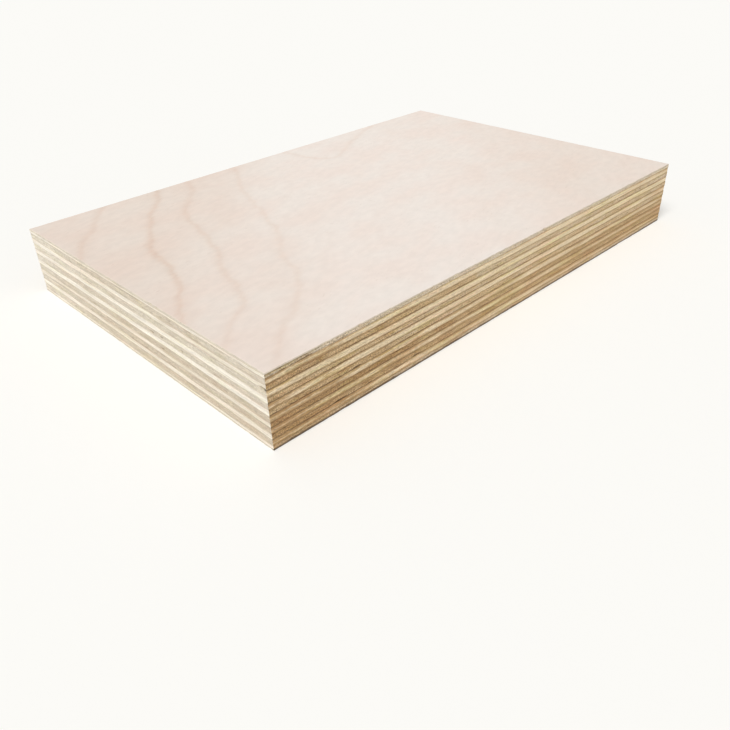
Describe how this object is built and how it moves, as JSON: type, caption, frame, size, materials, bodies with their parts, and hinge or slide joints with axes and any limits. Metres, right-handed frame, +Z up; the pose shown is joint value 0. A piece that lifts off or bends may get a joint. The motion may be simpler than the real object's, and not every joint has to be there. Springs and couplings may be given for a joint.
{
  "type": "plywood sheet",
  "caption": "Rectangular plywood sheet of crossed veneer plies with a thin figured birch face, a thin back and square sawn edges, used as flat panel stock.",
  "frame": {"origin": "middle of the underside, where the back veneer lies on the floor", "axes": "+X along the length and the face grain, +Y across the width, +Z up through the plies to the face"},
  "size_m": [0.154, 0.1, 0.018],
  "materials": {
    "face_birch": "sanded matte birch veneer",
    "long_ply": "sawn veneer, grain along the length",
    "cross_ply": "sawn veneer, grain across the length",
    "back_birch": "sanded matte birch veneer"
  },
  "bodies": {
    "root": {"face_veneer": "face_birch", "cross_ply_1": "cross_ply", "long_ply_1": "long_ply", "cross_ply_2": "cross_ply", "long_ply_2": "long_ply", "cross_ply_3": "cross_ply", "long_ply_3": "long_ply", "cross_ply_4": "cross_ply", "long_ply_4": "long_ply", "cross_ply_5": "cross_ply", "long_ply_5": "long_ply", "cross_ply_6": "cross_ply", "long_ply_6": "long_ply", "cross_ply_7": "cross_ply", "back_veneer": "back_birch"}
  },
  "joints": []
}
